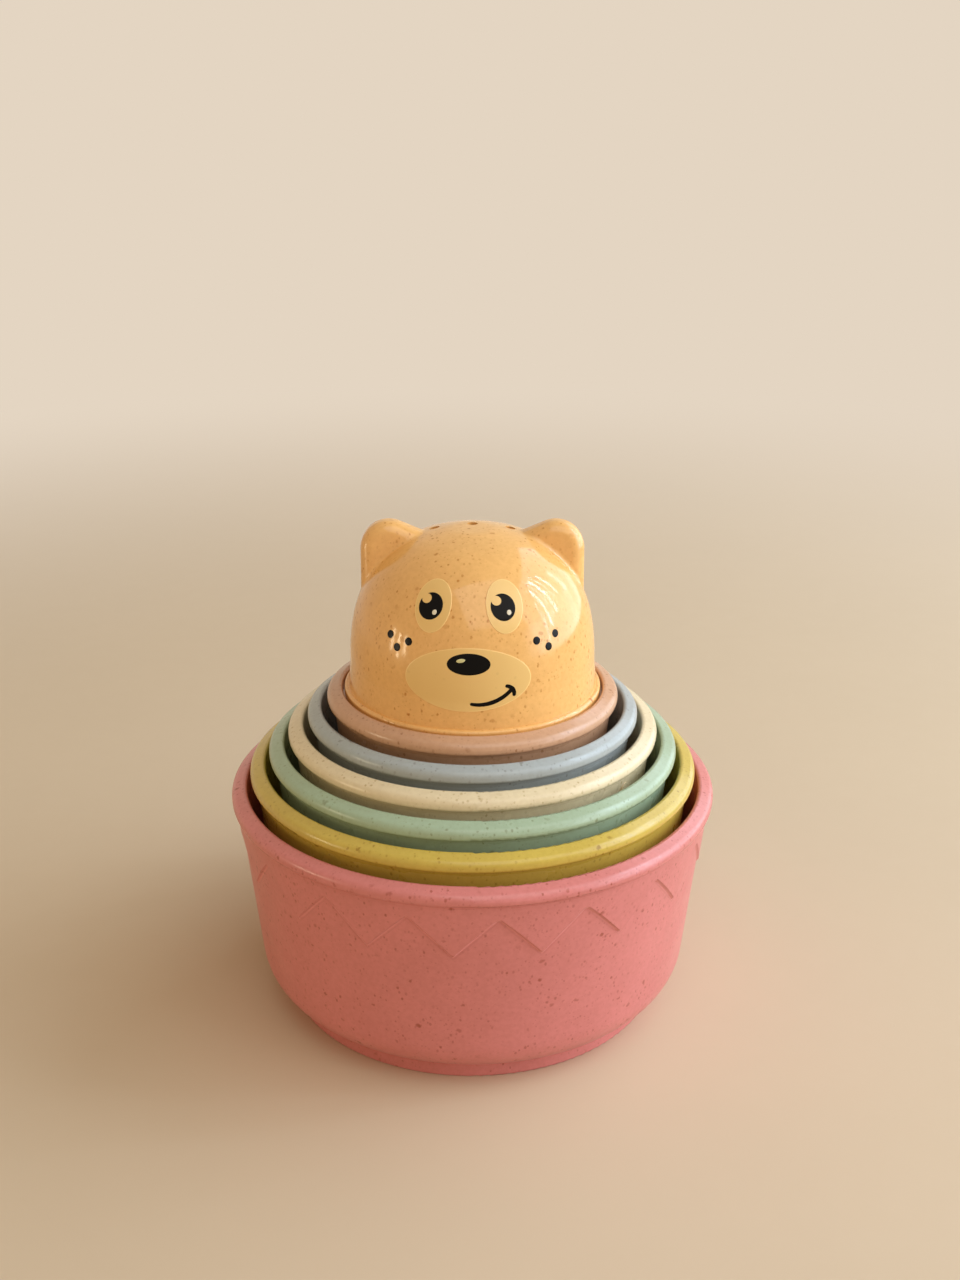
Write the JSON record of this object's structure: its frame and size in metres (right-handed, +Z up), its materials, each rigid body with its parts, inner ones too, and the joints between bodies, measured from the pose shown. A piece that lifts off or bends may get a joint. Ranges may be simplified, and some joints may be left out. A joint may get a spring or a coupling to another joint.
{
  "type": "nesting stacking cup set",
  "caption": "Round stacking cups nested in one another, with rolled rims and foot rings, a raised zigzag band on the largest, and a bear's-head cup with drain holes and ears on top.",
  "frame": {"origin": "middle of the largest cup's foot ring, on the surface it stands on", "axes": "+Z up along the common axis of the cups, -Y the way the bear faces, +X the viewer's right when looking at the face"},
  "size_m": [0.096, 0.096, 0.0976],
  "materials": {
    "pink_plastic": "satin moulded polypropylene with fine brown plant-fibre specks",
    "yellow_plastic": "satin moulded polypropylene with fine brown plant-fibre specks",
    "green_plastic": "satin moulded polypropylene with fine brown plant-fibre specks",
    "cream_plastic": "satin moulded polypropylene with fine brown plant-fibre specks",
    "blue_plastic": "satin moulded polypropylene with fine brown plant-fibre specks",
    "mauve_plastic": "satin moulded polypropylene with fine brown plant-fibre specks",
    "orange_plastic": "polished moulded polypropylene with fine brown plant-fibre specks",
    "pale_print": "thin printed film on the head: eye and muzzle patches",
    "white_print": "thin glossy off-white print on the head: glints in the eyes and on the nose",
    "black_print": "thin glossy black print on the head: pupils, nose, mouth and freckles"
  },
  "bodies": {
    "pink": {"cup_pink": "pink_plastic"},
    "yellow": {"cup_yellow": "yellow_plastic"},
    "green": {"cup_green": "green_plastic"},
    "cream": {"cup_cream": "cream_plastic"},
    "blue": {"cup_blue": "blue_plastic"},
    "mauve": {"cup_mauve": "mauve_plastic"},
    "head": {"bear_head": "orange_plastic"}
  },
  "joints": [
    {"name": "yellow_lift", "type": "slide", "parent": "pink", "child": "yellow", "axis": [0, 0, 1], "range_m": [0, 0.045]},
    {"name": "green_lift", "type": "slide", "parent": "yellow", "child": "green", "axis": [0, 0, 1], "range_m": [0, 0.045]},
    {"name": "cream_lift", "type": "slide", "parent": "green", "child": "cream", "axis": [0, 0, 1], "range_m": [0, 0.045]},
    {"name": "blue_lift", "type": "slide", "parent": "cream", "child": "blue", "axis": [0, 0, 1], "range_m": [0, 0.045]},
    {"name": "mauve_lift", "type": "slide", "parent": "blue", "child": "mauve", "axis": [0, 0, 1], "range_m": [0, 0.045]},
    {"name": "head_lift", "type": "slide", "parent": "mauve", "child": "head", "axis": [0, 0, 1], "range_m": [0, 0.03]}
  ]
}
